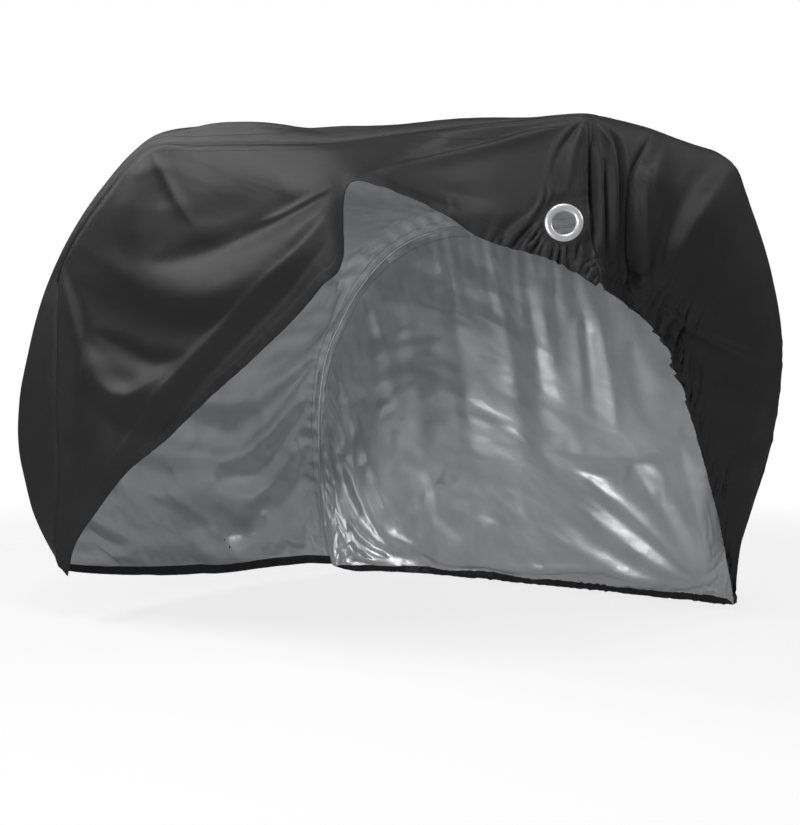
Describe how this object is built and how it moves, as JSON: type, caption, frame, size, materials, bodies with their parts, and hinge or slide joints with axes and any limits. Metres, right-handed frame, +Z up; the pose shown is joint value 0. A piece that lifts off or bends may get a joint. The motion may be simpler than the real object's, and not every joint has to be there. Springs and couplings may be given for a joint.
{
  "type": "bicycle cover",
  "caption": "Fitted black bicycle cover with a silver inside and a metal eyelet, draped as worn, its near front corner pulled up so that the hem sweeps from the floor up to the handlebar.",
  "frame": {"origin": "on the floor, under the middle of the cover's bounding box", "axes": "+X along the cover from its rear end to its front end, +Y across it from the near side with the eyelet to the far side, +Z up"},
  "size_m": [1.6113, 1.2156, 1.1144],
  "materials": {
    "coated_cloth": "thin black polyester with a soft satin sheen outside and a silver coating inside",
    "bright_metal": "bright plated metal"
  },
  "bodies": {
    "root": {"side_panel_near": "coated_cloth", "eyelet_strip": "coated_cloth", "top_and_end_strip": "coated_cloth", "side_panel_far": "coated_cloth", "eyelet_ring": "bright_metal"}
  },
  "joints": []
}
